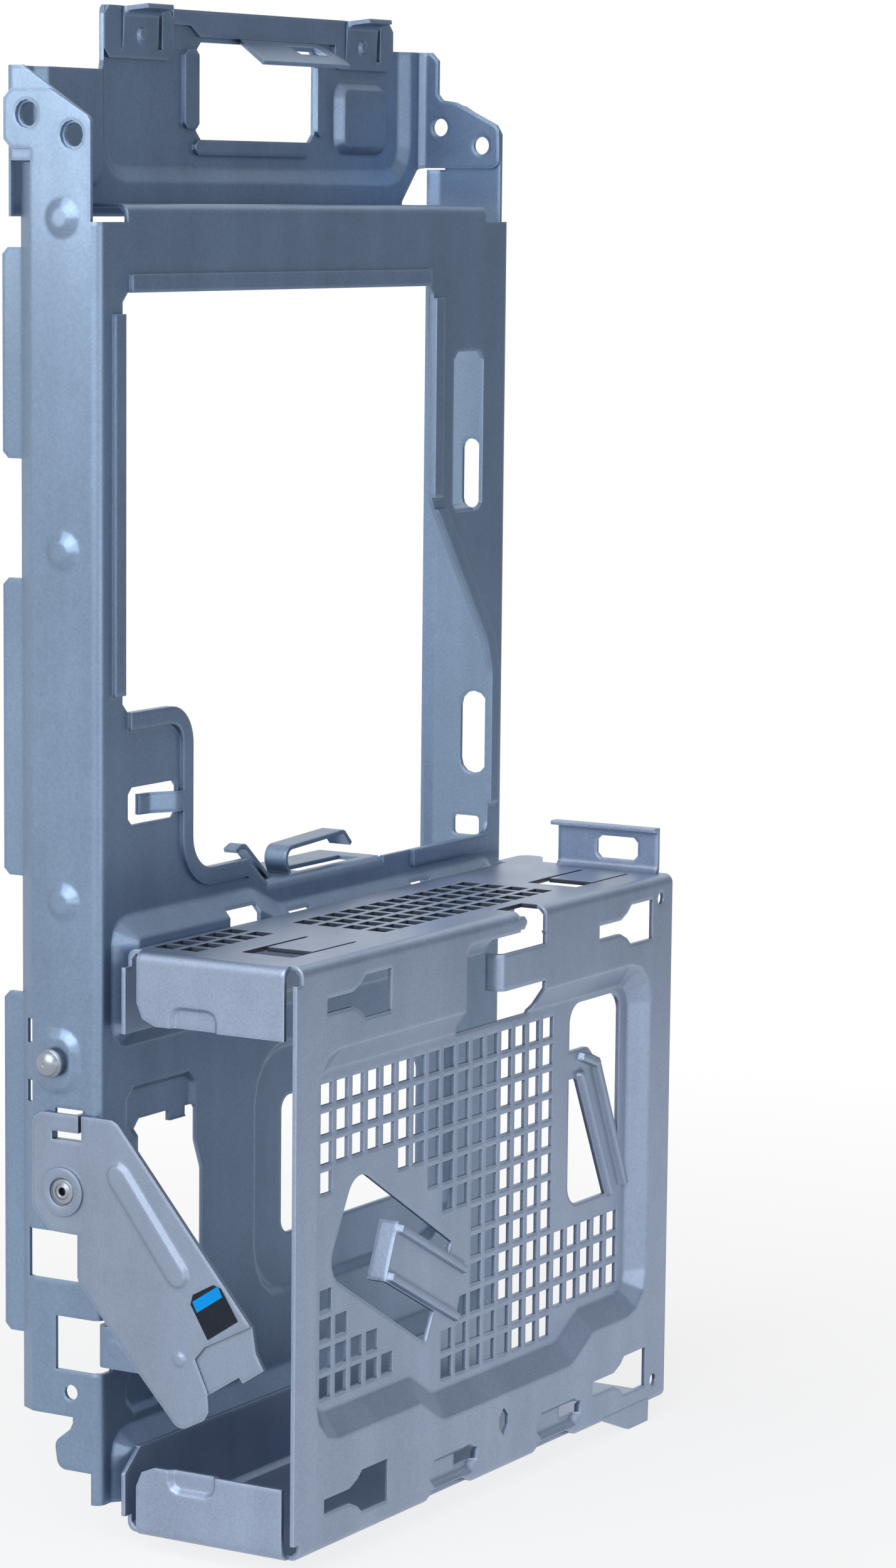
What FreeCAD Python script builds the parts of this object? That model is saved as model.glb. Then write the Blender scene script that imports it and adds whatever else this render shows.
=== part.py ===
import FreeCAD, Part
import math
import os

Vector = FreeCAD.Vector

# Sheet metal, in millimetres
SHEET = 1.0
INNER_BEND = 1.2
OUTER_BEND = INNER_BEND + SHEET
HEM = 4.0
ROUND_FROM = 2.1
CUT_FROM = 1.2
SMALLEST = 0.01

# Main frame
PANEL_WIDTH = 180.0
PANEL_TOP = 298.0
PANEL_BOTTOM = 6.0
CORNER_DROP = 4.0
FLANGE = 18.4
JOGGLE_IN = 2.2
JOGGLE_RUN = 4.1
TAB_REACH = 5.1
TOP_FLANGE = 24.0
PAD_RISE = 4.2
PAD_RUN = 5.0
WINDOW_DROP = 19.4
SHELF_DEPTH = 18.4

# Drive cage
CAGE_INSET = 2.5
CAGE_HEIGHT = 133.8
CAGE_DEPTH = 46.2
CAGE_BACK_FLANGE = 19.0
CAGE_SIDE_FLANGE = 16.5
FIELD_DEPTH = 3.8
FIELD_RUN = 5.5
PITCH = 6.7
HOLE = 5.0
RAIL = 2.9
RAIL_RISE = 1.4
ARM_END = 5.0
HOOK_DROP = 4.3
END_TAB = 11.2
LOBE = 8.4

# Upper bracket
BRACKET_FRONT = 25.0
BRACKET_TOP = 44.5
BRACKET_DEPTH = 2.0
BRACKET_RUN = 3.5
FINGER = 14.3
FINGER_HOOK = 5.4

# Latch lever, pivot and stud
LEVER_SHEET = 1.2
LEVER_LENGTH = 63.4
LEVER_GAP = 0.3
PULL_DEPTH = 0.6
PIVOT_BACK = 9.0
PIVOT_HEIGHT = 78.1
PIVOT_RADIUS = 1.6
PIVOT_BORE = 0.9
RUNNING_GAP = 0.05
STUD_BACK = 11.7
STUD_RISE = 29.2
STUD_RADIUS = 3.4
TAG_SHEET = 0.2

# Places that follow from the sizes above
half = PANEL_WIDTH / 2
cage_half = half - CAGE_INSET
corner_top = PANEL_TOP - CORNER_DROP
joggle_back = FLANGE + JOGGLE_RUN
tab_back = joggle_back + TAB_REACH
sill = CAGE_HEIGHT + 7.0
window_top = PANEL_TOP - WINDOW_DROP
cage_back = -PAD_RISE
cage_front = cage_back - CAGE_DEPTH
field_front = cage_front + FIELD_DEPTH
ear_front = 2.4
ear_back = BRACKET_FRONT + 0.6
ear_foot = PANEL_TOP + 8.8
ear_top = PANEL_TOP + 24.8
stud_height = PIVOT_HEIGHT + STUD_RISE
lever_in = -half - LEVER_GAP
lever_out = lever_in - LEVER_SHEET


def left(distance):
    """Place across the part, measured from the panel's left edge."""
    return -half + distance


def right(distance):
    """Place across the part, measured from the panel's right edge."""
    return half - distance


def across(share):
    """Place across the cage, in hundredths of its width from its left end."""
    return -cage_half + 2 * cage_half * share / 100


def below(share):
    """Height on the cage, in hundredths of it below its top."""
    return CAGE_HEIGHT * (1 - share / 100)


def point(normal, u, v, level):
    """A point of a drawing plane whose normal is the named axis."""
    if normal == "x":
        return Vector(level, u, v)
    if normal == "y":
        return Vector(u, level, v)
    return Vector(u, v, level)


def radius_of(corner):
    """The rounding of a corner, its third value when it has one."""
    return corner[2] if len(corner) > 2 else 0.0


def corner_points(before, here, after, radius, cuts):
    """Points along a rounded corner, from where it starts to where it ends."""
    to_before = (before - here).normalize()
    to_after = (after - here).normalize()
    slant = to_before.getAngle(to_after) / 2
    centre = here + (to_before + to_after).normalize() * (radius / math.sin(slant))
    reach = here + to_before * (radius / math.tan(slant)) - centre
    sweep = math.pi - 2 * slant
    angles = [sweep * step / cuts for step in range(cuts + 1)]
    return [centre + reach * math.cos(a) - to_before * (radius * math.sin(a)) for a in angles]


def outline(normal, level, corners, cuts=0):
    """A closed wire. Large corners are round and small ones cut straight, or all get so many cuts."""
    flat = [Vector(corner[0], corner[1], 0) for corner in corners]
    runs = []
    for i, here in enumerate(flat):
        radius = radius_of(corners[i])
        is_round = cuts == 0 and radius >= ROUND_FROM
        steps = cuts if cuts else (2 if is_round else 1)
        points = [here]
        if radius >= (CUT_FROM if cuts == 0 else SMALLEST):
            points = corner_points(flat[i - 1], here, flat[(i + 1) % len(flat)], radius, steps)
        runs.append((is_round, [point(normal, spot.x, spot.y, level) for spot in points]))
    edges = []
    for i, (is_round, points) in enumerate(runs):
        if is_round:
            edges.append(Part.Arc(points[0], points[1], points[2]).toShape())
        else:
            edges += [Part.LineSegment(a, b).toShape() for a, b in zip(points, points[1:])]
        following = runs[(i + 1) % len(runs)][1][0]
        if (following - points[-1]).Length > SMALLEST / 10:
            edges.append(Part.LineSegment(points[-1], following).toShape())
    return Part.Wire(edges)


def slab(normal, level, depth, corners, cuts=0):
    """A flat plate with the given outline, from a level and as deep as asked."""
    face = Part.Face(outline(normal, level, corners, cuts))
    return face.extrude(point(normal, 0, 0, depth))


def frustum(normal, foot_level, foot, crest_level, crest, cuts=1):
    """A drawn pad's solid, with straight sloping sides between two outlines."""
    ends = [outline(normal, foot_level, foot, cuts), outline(normal, crest_level, crest, cuts)]
    low, high = [[vertex.Point for vertex in wire.OrderedVertexes] for wire in ends]
    faces = [Part.Face(wire) for wire in ends]
    for i in range(len(low)):
        side = [low[i - 1], low[i], high[i], high[i - 1], low[i - 1]]
        faces.append(Part.Face(Part.makePolygon(side)))
    return Part.Solid(Part.makeShell(faces))


def disc(normal, level, depth, u, v, radius):
    """A round bar along the named axis."""
    return Part.makeCylinder(radius, depth, point(normal, u, v, level), point(normal, 0, 0, 1))


def rect(u0, u1, v0, v1, radius=0.0):
    """Corners of a rectangle, all rounded alike."""
    return [(u0, v0, radius), (u1, v0, radius), (u1, v1, radius), (u0, v1, radius)]


def ring(u, v, radius):
    """Corners of a square whose rounding makes it nearly a circle."""
    return rect(u - radius, u + radius, v - radius, v + radius, radius * 0.98)


def moved(corners, du, dv):
    """The same corners at another place."""
    return [(corner[0] + du, corner[1] + dv, radius_of(corner)) for corner in corners]


def unit(first, last):
    """Direction from one corner to another."""
    return Vector(last[0] - first[0], last[1] - first[1], 0).normalize()


def grown(corners, by):
    """The same closed outline moved outward by a distance, or inward if negative."""
    count = len(corners)
    area = sum(corners[i - 1][0] * corners[i][1] - corners[i][0] * corners[i - 1][1] for i in range(count))
    turn = math.copysign(1.0, area)
    result = []
    for i in range(count):
        here = corners[i]
        came = unit(corners[i - 1], here)
        goes = unit(here, corners[(i + 1) % count])
        normals = (Vector(came.y, -came.x, 0) + Vector(goes.y, -goes.x, 0)) * turn
        shift = normals * (2 * by / normals.dot(normals))
        bulge = math.copysign(by, by * turn * (came.x * goes.y - came.y * goes.x))
        radius = max(radius_of(here) + bulge, SMALLEST) if radius_of(here) > 0 else 0.0
        result.append((here[0] + shift.x, here[1] + shift.y, radius))
    return result


def strip(path, thickness):
    """Outline of a bent sheet: the path is one face, the other lies to its right."""
    other = []
    for i in range(len(path)):
        here = path[i]
        came = unit(path[max(i - 1, 0)], here) if i > 0 else unit(here, path[1])
        goes = unit(here, path[i + 1]) if i < len(path) - 1 else came
        normals = Vector(came.y, -came.x, 0) + Vector(goes.y, -goes.x, 0)
        shift = normals * (2 * thickness / normals.dot(normals))
        bend = came.x * goes.y - came.y * goes.x
        change = thickness if bend > 0 else -thickness
        radius = max(radius_of(here) + change, 0.0) if radius_of(here) > 0 else 0.0
        other.append((here[0] + shift.x, here[1] + shift.y, radius))
    return list(path) + other[::-1]


def racetrack(start, end, reach):
    """A long rounded outline around the line from start to end."""
    along = unit(start, end)
    u, v = along.x * reach, along.y * reach
    rounding = reach * 0.98
    return [
        (start[0] - u - v, start[1] - v + u, rounding),
        (end[0] + u - v, end[1] + v + u, rounding),
        (end[0] + u + v, end[1] + v - u, rounding),
        (start[0] - u + v, start[1] - v - u, rounding),
    ]


def joined(shapes):
    """One solid from touching solids, without the seams between them."""
    return shapes[0].multiFuse(shapes[1:]).removeSplitter()


def drawn(sheet, normal, face, rise, crest, run, cuts=1):
    """The sheet with a pad drawn out of its plane: face is its front, rise the way it moves."""
    back = face + SHEET
    ease = SHEET * 0.4 * (1 if rise < 0 else -1)
    foot = grown(crest, run)
    if rise < 0:
        body = frustum(normal, face, foot, face + rise, crest, cuts)
        hollow = frustum(normal, back, grown(foot, -ease), back + rise, grown(crest, -ease), cuts)
    else:
        hollow = frustum(normal, face, foot, face + rise, crest, cuts)
        body = frustum(normal, back, grown(foot, -ease), back + rise, grown(crest, -ease), cuts)
    return sheet.fuse(body).cut(hollow)


def ear(front, top, back, foot):
    """Outline of an ear: a slanting front shoulder and rounded back corners."""
    return [
        (front, corner_top),
        (front, top - 6.3, 1.5),
        (front + 11, top, 2),
        (back, top, 2),
        (back, foot, 2),
        (FLANGE, foot),
        (FLANGE, corner_top),
    ]


def window_corners():
    """The big window, from its top left corner round to the right."""
    return [
        (left(9.0), window_top, 2),
        (right(37.1), window_top, 2),
        (right(37.1), PANEL_TOP - 72.0, 6),
        (right(10.4), PANEL_TOP - 108.5, 8),
        (right(7.9), PANEL_TOP - 116.0, 8),
        (right(7.9), sill, 3),
        (left(68.6), sill, 3),
        (left(60.6), sill + 6.5, 4),
        (left(36.1), sill + 6.5, 8),
        (left(36.1), sill + 45.0, 9),
        (left(9.0), sill + 45.0, 2),
    ]


def hems():
    """Window edges folded flat onto the front, in separate stretches."""
    window = window_corners()
    ring = slab("y", -SHEET, SHEET, grown(window, HEM)).cut(slab("y", -SHEET, SHEET, window))
    stretches = [
        rect(left(11.6), right(39.4), window_top - 1, window_top + HEM + 1),
        rect(left(4.0), left(10.0), sill + 49.0, window_top - 4.6),
        rect(right(38.0), right(32.0), PANEL_TOP - 71.0, window_top - 3.0),
        [
            (right(38.5), PANEL_TOP - 74.0),
            (right(30.5), PANEL_TOP - 74.0),
            (right(2.0), PANEL_TOP - 112.0),
            (right(2.0), sill + 7.5),
            (right(9.0), sill + 7.5),
            (right(9.0), PANEL_TOP - 116.0),
        ],
        rect(left(11.1), left(60.0), sill + 1.5, sill + 46.0),
        rect(right(45.5), right(9.0), sill - HEM - 1, sill + 1),
    ]
    return [ring.common(slab("y", -2 * SHEET, 4 * SHEET, stretch)) for stretch in stretches]


def frame_sheet():
    """Panel with its side flanges, top flange, ears and rear tabs."""
    path = [
        (half - 1.2, FLANGE + 5.0),
        (half, FLANGE + 1.6),
        (half, 0, OUTER_BEND),
        (-half, 0, OUTER_BEND),
        (-half, FLANGE),
        (-half + JOGGLE_IN, joggle_back),
    ]
    shell = slab("z", PANEL_BOTTOM, ear_foot - PANEL_BOTTOM, strip(path, SHEET))
    over = slab("y", -1, ear_front + 1, rect(-half - 1, half + 1, corner_top, ear_foot + 1))
    top_fold = [
        (TOP_FLANGE, PANEL_TOP),
        (0, PANEL_TOP, OUTER_BEND),
        (0, corner_top - 1),
    ]
    top = slab("x", left(11.1), PANEL_WIDTH - 23.0, strip(top_fold[::-1], SHEET))
    side = ear(ear_front, ear_top, ear_back, ear_foot + 3)
    pieces = [shell.cut(over), top]
    pieces.append(slab("x", -half, SHEET, side))
    pieces.append(slab("x", half - SHEET, SHEET, side))
    for low, high in [(43.3, 121.8), (148.3, 215.2), (241.8, 288.3)]:
        tab = [
            (joggle_back - 1.0, low),
            (tab_back, low, 1.5),
            (tab_back, high, 1.5),
            (joggle_back - 1.0, high),
        ]
        pieces.append(slab("x", -half + JOGGLE_IN, SHEET, tab))
    return joined(pieces)


def left_flange_cuts():
    """Holes and the lower edge of the left flange, as solids to take away."""
    level, depth = -half - 1, JOGGLE_IN + SHEET + 3
    lower = [
        (ear_front, 0),
        (ear_front, 13.3),
        (11.5, 13.3, 2.5),
        (12.4, 19.5, 2.5),
        (7.4, 23.5, 2),
        (7.4, 25.8, 1),
        (tab_back + 1, 25.8),
        (tab_back + 1, 0),
    ]
    lever_hole = about_pivot(rect(-6.9, 5.0, 18.5, 29.5, 1.3))
    outlines = [
        lower,
        lever_hole,
        rect(5.9, 19.9, 57.1, 68.3, 0.8),
        rect(-1.0, 12.1, 36.5, 48.9, 0.9),
        rect(FLANGE, FLANGE + 2.0, 110.8, 116.3, 0.6),
        rect(FLANGE, FLANGE + 2.0, 97.3, 102.3, 0.6),
    ]
    cuts = [slab("x", level, depth, corners) for corners in outlines]
    cuts.append(slab("x", level, depth, ring(7.9, 31.5, 1.8), 3))
    cuts.append(disc("x", level, depth, PIVOT_BACK, PIVOT_HEIGHT, PIVOT_RADIUS))
    return cuts


def ear_places():
    """Middles of the two screw holes of an ear."""
    return [(19.4, PANEL_TOP + 19.3), (7.4, PANEL_TOP + 14.8)]


def ear_holes(radius, level, depth):
    """The two round screw holes of an ear."""
    return [disc("x", level, depth, y, z, radius) for y, z in ear_places()]


def ear_clearances(radius, level, depth):
    """Larger holes around the screw holes, in the sheet outside them."""
    return [slab("x", level, depth, ring(y, z, radius), 3) for y, z in ear_places()]


def right_flange_cuts():
    """Slots and the lower edge of the right flange."""
    level, depth = half - 4, 6
    outlines = [
        rect(ear_front, tab_back, 0, 25.8),
        rect(7.4, 12.4, PANEL_TOP - 75.7, PANEL_TOP - 58.2, 2.4),
        rect(4.4, 12.1, sill + 14.0, sill + 35.0, 3.6),
        rect(6.4, 13.9, sill - 2.0, sill + 3.0, 1.0),
    ]
    return [slab("x", level, depth, corners, 3) for corners in outlines]


def panel_cuts():
    """Openings of the panel apart from the big window."""
    drive_hole = [
        (left(15.3), 92.6, 2),
        (left(29.6), 92.6),
        (left(29.6), 90.1, 0.8),
        (left(36.1), 90.1, 0.8),
        (left(36.1), 92.5),
        (left(39.1), 92.5, 1),
        (left(39.1), 84.0, 2),
        (left(41.9), 77.0, 3),
        (left(41.9), 42.0, 2),
        (left(15.3), 42.0, 2),
    ]
    outlines = [
        drive_hole,
        rect(left(78.1), left(142.1), 54.3, 87.8, 3.5),
        rect(right(26.9), right(12.4), PANEL_TOP - 75.2, PANEL_TOP - 35.7, 2.0),
        rect(left(11.1), left(31.0), sill + 19.5, sill + 28.0, 1.5),
        rect(left(46.8), left(59.6), CAGE_HEIGHT - 5.0, CAGE_HEIGHT + 3.0, 1.0),
        rect(left(75.6), left(85.1), CAGE_HEIGHT - 8.0, CAGE_HEIGHT - 0.8, 1.0),
        rect(left(131.6), left(140.6), CAGE_HEIGHT - 8.0, CAGE_HEIGHT - 0.8, 1.0),
    ]
    return [slab("y", -PAD_RISE - 2, PAD_RISE + 6, corners) for corners in outlines]


def sill_parts():
    """The shelf folded back from the sill, with its two lanced cable clips."""
    fold = [
        (0, sill - 6.0),
        (0, sill, OUTER_BEND),
        (SHELF_DEPTH, sill),
    ]
    shelf = slab("x", left(69.0), 52.5, strip(fold, SHEET))
    opening = slab("z", sill - 2, 4, rect(left(88.0), left(116.0), 3.5, 9.5, 1.0))
    clip = [
        (left(84.0), sill - 0.5),
        (left(80.6), sill + 6.2, 3.2),
        (left(109.0), sill + 7.6, 1.2),
        (left(112.5), sill + 4.2),
    ]
    hook = [
        (left(74.5), sill - 0.5),
        (left(63.5), sill + 8.6, 2.0),
        (left(60.5), sill + 7.4),
    ]
    parts = [shelf.cut(opening)]
    parts.append(slab("y", 3.5, 6.0, strip(clip, SHEET)))
    parts.append(slab("y", 3.0, 3.5, strip(hook, SHEET)))
    return parts


def panel_tabs():
    """Small tongues bent out of the panel and the keeper lug in front of the left flange."""
    lance = [
        (left(33.0), 0),
        (left(30.0), 0, 2),
        (left(24.0), 3.6, 2),
        (left(20.2), 4.2),
    ]
    lug = [
        (-half, -11.6),
        (-half, SHEET, OUTER_BEND),
        (left(7.0), SHEET),
    ]
    bump_foot = rect(-6.8, -1.6, 41.0, 45.5, 1.5)
    bump = frustum("x", -half, bump_foot, -half - LEVER_GAP + RUNNING_GAP, grown(bump_foot, -1.0))
    finger = [
        (PANEL_TOP - 77.0, 0),
        (PANEL_TOP - 75.0, 0, 1.5),
        (PANEL_TOP - 73.6, 4.0),
    ]
    profile = [(corner[1], corner[0], radius_of(corner)) for corner in finger]
    return [
        slab("z", sill + 20.8, 4.7, strip(lance[::-1], SHEET)),
        slab("z", 38.5, 9.5, strip(lug, SHEET)),
        bump,
        slab("x", right(26.4), 11.0, strip(profile, SHEET)),
    ]


def main_frame():
    """The folded main sheet."""
    sheet = frame_sheet()
    upper_pad = [
        (left(4.6), CAGE_HEIGHT - 23.5, 6),
        (left(4.6), CAGE_HEIGHT + 3.7 + HEM - 1.2, 6),
        (left(61.6), CAGE_HEIGHT + 3.7 + HEM - 1.2, 12),
        (left(73.6), CAGE_HEIGHT + 1.2, 12),
        (right(4.6), CAGE_HEIGHT + 1.2, 6),
        (right(4.6), CAGE_HEIGHT - 23.5, 6),
    ]
    lower_pad = rect(left(4.6), right(4.6), -20.0, 22.8, 6)
    sheet = drawn(sheet, "y", 0, -PAD_RISE, grown(upper_pad, -PAD_RUN), PAD_RUN, 3)
    sheet = drawn(sheet, "y", 0, -PAD_RISE, grown(lower_pad, -PAD_RUN), PAD_RUN, 3)
    sheet = sheet.cut(slab("z", PANEL_BOTTOM - 60, 60, rect(-half - 1, half + 1, -PAD_RISE - 1, tab_back)))
    sheet = drawn(sheet, "y", 0, 1.5, rect(left(66.1), left(153.6), 41.8, 99.8, 12), 2.0, 4)
    sheet = drawn(sheet, "y", 0, 1.2, rect(left(12.1), left(37.6), 90.5, 99.3, 1.5), 1.5)
    sheet = drawn(sheet, "y", 0, 1.2, rect(left(12.1), left(25.1), 26.3, 34.3, 2.0), 1.5)
    window = window_corners()
    sheet = sheet.cut(slab("y", -3, 6, window))
    sheet = sheet.cut(slab("y", -1, 3, rect(left(69.0), left(121.5), sill - OUTER_BEND, sill + 1)))
    for place in [PANEL_TOP - 3.2, PANEL_TOP - 76.2, sill + 2.7]:
        sheet = drawn(sheet, "x", -half, -1.3, ring(9.9, place, 2.1), 2.4, 3)
    boss = rect(STUD_BACK - 4.4, STUD_BACK + 4.4, stud_height - 5.6, stud_height + 5.6, 3.0)
    sheet = drawn(sheet, "x", -half, -1.2, boss, 2.0, 3)
    sheet = sheet.cut(left_flange_cuts() + right_flange_cuts() + panel_cuts())
    sheet = sheet.cut(ear_clearances(3.1, -half - 1, 3) + ear_clearances(3.1, half - 2, 3))
    sheet = sheet.cut(disc("x", -half - 3, 6, STUD_BACK, stud_height, STUD_RADIUS * 0.7))
    return joined([sheet] + hems() + sill_parts() + panel_tabs())


def spring_lug(start, end, slit):
    """A folded flap on the bracket's top edge with a hooked spring finger cut free in it."""
    floor = BRACKET_FRONT + BRACKET_DEPTH
    top = PANEL_TOP + BRACKET_TOP
    flap = slab("y", floor - SHEET, SHEET, rect(start, end, top - 11.8, top, 2.0))
    free = rect(slit - 0.3, slit + FINGER + 2.0, top - 9.6, top + 1)
    pocket = slab("y", floor - 2 * SHEET, 2 * SHEET, free)
    path = [
        (floor - FINGER_HOOK, top + 0.6),
        (floor - 0.6, top - 0.4, OUTER_BEND),
        (floor, top - 10.5),
    ]
    finger = slab("x", slit, FINGER, strip(path, SHEET))
    corner = [
        (slit - 1, floor - FINGER_HOOK - 1),
        (slit + 5.0, floor - FINGER_HOOK - 1),
        (slit - 1, floor - SHEET),
    ]
    foot = ring(slit + FINGER * 0.52, top - 6.2, 2.2)
    dimple = frustum("y", floor - SHEET, foot, floor - SHEET - 0.9, grown(foot, -0.9), 2)
    return [flap.cut(pocket), finger.cut(slab("z", top - 2, 4, corner)), dimple]


def upper_bracket():
    """The folded sheet between the two ears."""
    back = BRACKET_FRONT + SHEET
    foot = PANEL_TOP - 3.0
    top = PANEL_TOP + BRACKET_TOP
    side = half - SHEET
    path = [
        (-side, ear_front + 0.8),
        (-side, back, OUTER_BEND),
        (side, back, OUTER_BEND),
        (side, ear_front - 0.3),
    ]
    sheet = slab("z", foot, top - foot, strip(path, SHEET))
    shoulder = PANEL_TOP + 29.9
    crown = PANEL_TOP + 37.8
    root = BRACKET_FRONT - 0.5
    left_side = [
        (30, foot),
        (30, top),
        (root, top),
        (root, shoulder),
        (21.3, shoulder, 1),
        (ear_front + 0.6, PANEL_TOP + 18.4, 1.5),
        (ear_front + 0.6, ear_foot + 0.4, 2),
        (root, ear_foot + 0.4),
        (root, foot),
    ]
    right_side = [
        (30, foot),
        (30, top),
        (root, top),
        (root, crown),
        (20.2, crown, 2),
        (20.2, PANEL_TOP + 26.2, 1.5),
        (15.0, PANEL_TOP + 25.5, 2.5),
        (ear_front, PANEL_TOP + 19.5, 1.5),
        (ear_front - 0.2, ear_foot + 0.4, 2.5),
        (root, ear_foot + 0.4),
        (root, foot),
    ]
    keep = slab("x", -half, half, left_side).fuse(slab("x", 0, half, right_side))
    sheet = sheet.common(keep)
    rib = rect(left(13.6), left(34.2), PANEL_TOP + 4.5, top + 20, 2)
    sheet = drawn(sheet, "y", BRACKET_FRONT, -BRACKET_DEPTH, rib, 3.0)
    pan = rect(left(41.0), right(10.4), PANEL_TOP + 8.3, top + 20, 6)
    sheet = drawn(sheet, "y", BRACKET_FRONT, BRACKET_DEPTH, pan, BRACKET_RUN, 3)
    floor = BRACKET_FRONT + BRACKET_DEPTH
    pad = rect(right(38.3), right(18.5), PANEL_TOP + 14.1, PANEL_TOP + 27.9, 2.0)
    sheet = drawn(sheet, "y", floor, -BRACKET_DEPTH, pad, 2.1, 3)
    shape = [
        (-half, foot),
        (-half, shoulder),
        (left(37.1), shoulder, 1.0),
        (left(39.3), shoulder + 2.2, 1.0),
        (left(39.3), top, 2),
        (right(13.9), top, 2),
        (right(13.9), crown, 0.5),
        (half, crown),
        (half, ear_foot + 0.4),
        (right(3.4), ear_foot + 0.2, 1.5),
        (right(10.9), PANEL_TOP + 0.8, 1),
        (right(10.9), foot),
    ]
    sheet = sheet.common(slab("y", -5, 45, shape))
    low, high = PANEL_TOP + 14.8, PANEL_TOP + 37.3
    first, last = left(78.6), right(49.4)
    sheet = sheet.cut(slab("y", floor - 2, 5, rect(first, last, low, high, 2)))
    edge = floor - SHEET
    lip = [
        (floor, high + 1.6),
        (floor - 2.0, high + 0.6, 1.5),
        (floor - 11.5, high - 4.0),
    ]
    lip_ends = [
        [
            (first, floor + 3),
            (first + 18.0, floor + 3),
            (first + 18.0, floor),
            (first + 11.0, floor - 12),
            (first, floor - 12),
        ],
        [
            (last - 3.0, floor - 12.5),
            (last + 1.0, floor - 12.5),
            (last + 1.0, floor - 8.0),
        ],
        rect(last - 17.0, last - 5.0, floor - 7.0, floor - 3.0),
    ]
    lip_cuts = [slab("z", high - 9, 16, corners) for corners in lip_ends]
    pieces = [
        sheet,
        slab("y", edge, SHEET, rect(first - 6.0, first, low + 2.5, high - 1.8, 1.2)),
        slab("y", edge, SHEET, rect(first - 1.5, last - 3.0, low - 3.5, low, 1.2)),
        slab("y", edge, SHEET, rect(last, last + 4.0, low + 1.5, high - 3.5, 1.2)),
        slab("y", edge, SHEET, [
            (left(67.6), top),
            (left(67.6), top - 3.5, 1),
            (left(75.0), top - 3.5, 1),
            (left(79.0), top - 6.0, 1),
            (right(38.6), top - 6.0, 1),
            (right(38.6), top),
        ]),
        slab("x", first + 2, last - first - 2, strip(lip[::-1], SHEET)).cut(lip_cuts),
    ]
    pieces += spring_lug(left(39.6), left(67.6), left(46.7))
    pieces += spring_lug(right(41.4), right(14.2), right(36.7))
    bracket = joined(pieces)
    return bracket.cut(ear_holes(2.6, -half - 1, 4) + ear_holes(2.2, half - 3, 4))


def perforations():
    """Square holes of the recessed field, row by row as (first column, last column)."""
    rows = [
        [(0, 15)],
        [(0, 15)],
        [(0, 15)],
        [(0, 0), (5, 15)],
        [(7, 15)],
        [(8, 15)],
        [(10, 15)],
        [(0, 0), (10, 15)],
        [(0, 1), (10, 20)],
        [(0, 3), (9, 20)],
        [(0, 4), (8, 20)],
        [(8, 15)],
    ]
    first_x = across(10.7)
    first_z = below(23.2)
    holes = []
    for row, spans in enumerate(rows):
        z = first_z - row * PITCH
        for start, end in spans:
            for column in range(start, end + 1):
                x = first_x + column * PITCH
                holes.append(rect(x - HOLE / 2, x + HOLE / 2, z - HOLE / 2, z + HOLE / 2))
    return [slab("y", field_front - 1, SHEET + 2, hole) for hole in holes]


def top_perforations():
    """Square holes of the cage's top plate, in two groups."""
    groups = [
        (across(5.5), 5, cage_front + 33.3, 2),
        (across(32.6), 12, cage_front + 13.3, 4),
    ]
    holes = []
    for first_x, columns, first_y, rows in groups:
        for column in range(columns):
            for row in range(rows):
                x = first_x + column * PITCH
                y = first_y + row * PITCH
                hole = rect(x - HOLE / 2, x + HOLE / 2, y - HOLE / 2, y + HOLE / 2)
                holes.append(slab("z", CAGE_HEIGHT - 2 * SHEET, 3 * SHEET, hole))
    return holes


def cage_shell():
    """The C fold of the cage with its left flanges."""
    path = [
        (cage_back, CAGE_BACK_FLANGE),
        (cage_back, 0, OUTER_BEND),
        (cage_front, 0, OUTER_BEND),
        (cage_front, CAGE_HEIGHT, OUTER_BEND),
        (cage_back, CAGE_HEIGHT, OUTER_BEND),
        (cage_back, CAGE_HEIGHT - CAGE_BACK_FLANGE),
    ]
    shell = slab("x", -cage_half, 2 * cage_half, strip(path, SHEET))
    margin = -cage_half + OUTER_BEND + 0.4
    bottom_fold = [
        (margin, 0),
        (-cage_half, 0, OUTER_BEND),
        (-cage_half, CAGE_SIDE_FLANGE),
    ]
    top_fold = [(x, CAGE_HEIGHT - z) for x, z in [corner[:2] for corner in bottom_fold]]
    top_fold[1] = (top_fold[1][0], top_fold[1][1], OUTER_BEND)
    flange_front = cage_front + 1.5 * OUTER_BEND
    flange_length = CAGE_DEPTH - 1.5 * OUTER_BEND - 4.0
    pieces = [shell]
    for fold in (bottom_fold, top_fold[::-1]):
        pieces.append(slab("y", flange_front, flange_length, strip(fold, SHEET)))
    for low in (-1, CAGE_HEIGHT - OUTER_BEND - 1.8):
        corner = rect(-cage_half - 1, margin, low, low + OUTER_BEND + 2.8)
        pieces[0] = pieces[0].cut(slab("y", cage_front - 1, CAGE_DEPTH + 2, corner))
    shell = joined(pieces)
    for edge, inward in [(CAGE_SIDE_FLANGE, 1), (CAGE_HEIGHT - CAGE_SIDE_FLANGE, -1)]:
        shell = side_flange(shell, edge, inward, flange_front + flange_length)
    slant = [
        (-cage_half - 1, 13.0),
        (across(3.4), 18.8),
        (across(3.4), 20.0),
        (-cage_half - 1, 20.0),
    ]
    return shell.cut(slab("y", cage_back - 2 * SHEET, 3 * SHEET, slant))


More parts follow.
